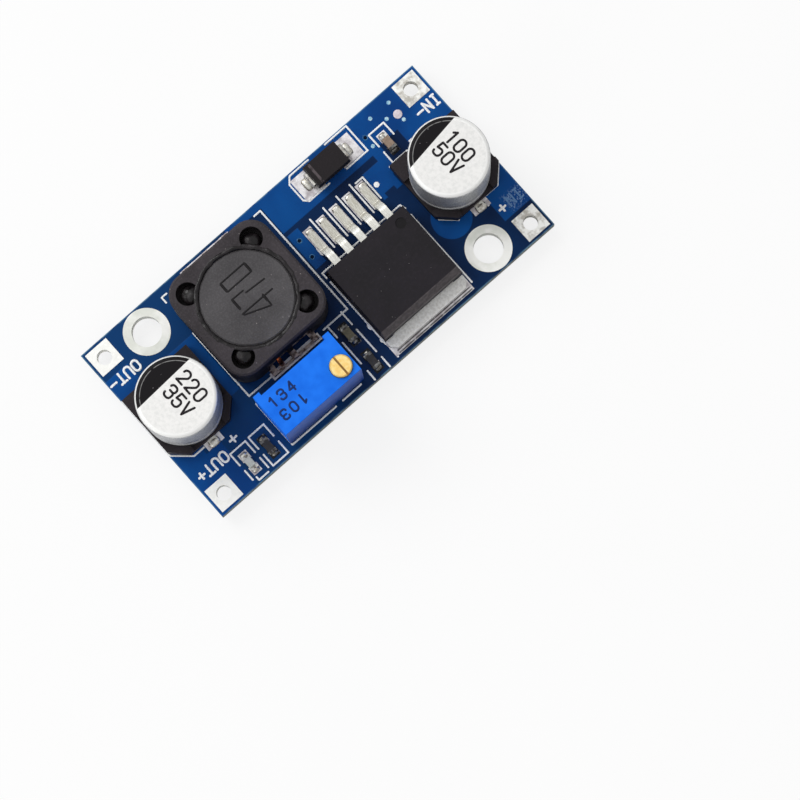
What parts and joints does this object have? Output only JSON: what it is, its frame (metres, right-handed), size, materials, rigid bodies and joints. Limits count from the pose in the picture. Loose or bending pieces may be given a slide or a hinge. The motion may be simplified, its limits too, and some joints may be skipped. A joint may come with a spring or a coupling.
{
  "type": "buck converter module",
  "caption": "Step-down voltage converter board with can capacitors, shielded coil, tabbed regulator and a screw-adjusted trimmer.",
  "frame": {"origin": "centre of the board's outline, at the tip of the lowest solder joint", "axes": "+X along the long side from the output end to the input end, +Y from the trimmer's side to the diode's side, +Z out of the component side"},
  "size_m": [0.0432, 0.021, 0.0131],
  "materials": {
    "solder_mask": "blue solder mask on glass laminate",
    "tinned_land": "tin plated copper",
    "can_aluminium": "drawn aluminium, printed top",
    "capacitor_base": "black moulded base",
    "tinned_lead": "tin plated copper",
    "ferrite": "dark sintered ferrite",
    "enamelled_wire": "enamelled copper wire",
    "tinned_clip": "tin plated copper",
    "epoxy_mould": "black moulding compound",
    "beige_ceramic": "fired ceramic",
    "chip_cap": "tin plated copper",
    "olive_ceramic": "fired ceramic",
    "resistor_glaze": "black overglaze on alumina",
    "led_carrier": "white carrier",
    "led_lens": "milky clear epoxy",
    "trimmer_blue": "blue moulded thermoplastic",
    "screw_brass": "turned brass",
    "seal_rubber": "silicone ring",
    "rotor_plastic": "natural nylon",
    "wiper_spring": "spring alloy",
    "element_ceramic": "alumina plate",
    "resistive_track": "fired resistive film",
    "potting": "blue epoxy potting",
    "solder": "solder"
  },
  "bodies": {
    "module": {"circuit_board": "solder_mask", "mounting_hole_lands": "tinned_land", "terminal_lands": "tinned_land", "spare_hole_lands": "tinned_land", "trimmer_hole_lands": "tinned_land", "surface_lands": "tinned_land", "input_capacitor_can": "can_aluminium", "input_capacitor_base": "capacitor_base", "input_capacitor_leads": "tinned_lead", "output_capacitor_can": "can_aluminium", "output_capacitor_base": "capacitor_base", "output_capacitor_leads": "tinned_lead", "inductor_shield": "ferrite", "inductor_core": "ferrite", "inductor_winding": "enamelled_wire", "inductor_terminals": "tinned_clip", "regulator_body": "epoxy_mould", "regulator_tab": "tinned_lead", "regulator_leads": "tinned_lead", "diode_body": "epoxy_mould", "diode_leads": "tinned_lead", "input_chip_capacitor": "beige_ceramic", "input_chip_capacitor_caps": "chip_cap", "feedback_chip_capacitor": "olive_ceramic", "feedback_chip_capacitor_caps": "chip_cap", "feedback_resistor": "resistor_glaze", "feedback_resistor_caps": "chip_cap", "led_resistor": "resistor_glaze", "led_resistor_caps": "chip_cap", "led_carrier": "led_carrier", "led_carrier_caps": "chip_cap", "led_lens": "led_lens", "trimmer_housing": "trimmer_blue", "trimmer_seal": "seal_rubber", "trimmer_element": "element_ceramic", "trimmer_track": "resistive_track", "trimmer_potting": "potting", "trimmer_pins": "tinned_lead", "trimmer_joints": "solder"},
    "adjusting_screw": {"trimmer_screw": "screw_brass"},
    "worm_wheel": {"trimmer_rotor": "rotor_plastic", "trimmer_wiper": "wiper_spring"}
  },
  "joints": [
    {"name": "screw_turn", "type": "hinge", "parent": "module", "child": "adjusting_screw", "pos_m": [-0.00366, -0.00809, 0.01308], "axis": [0, 0, 1], "continuous": true},
    {"name": "wheel_turn", "type": "hinge", "parent": "module", "child": "worm_wheel", "pos_m": [-0.00728, -0.00818, 0.00734], "axis": [0, 1, 0], "continuous": true}
  ],
  "couplings": [
    {"joint": "wheel_turn", "follows": "screw_turn", "ratio": 0.035714}
  ]
}
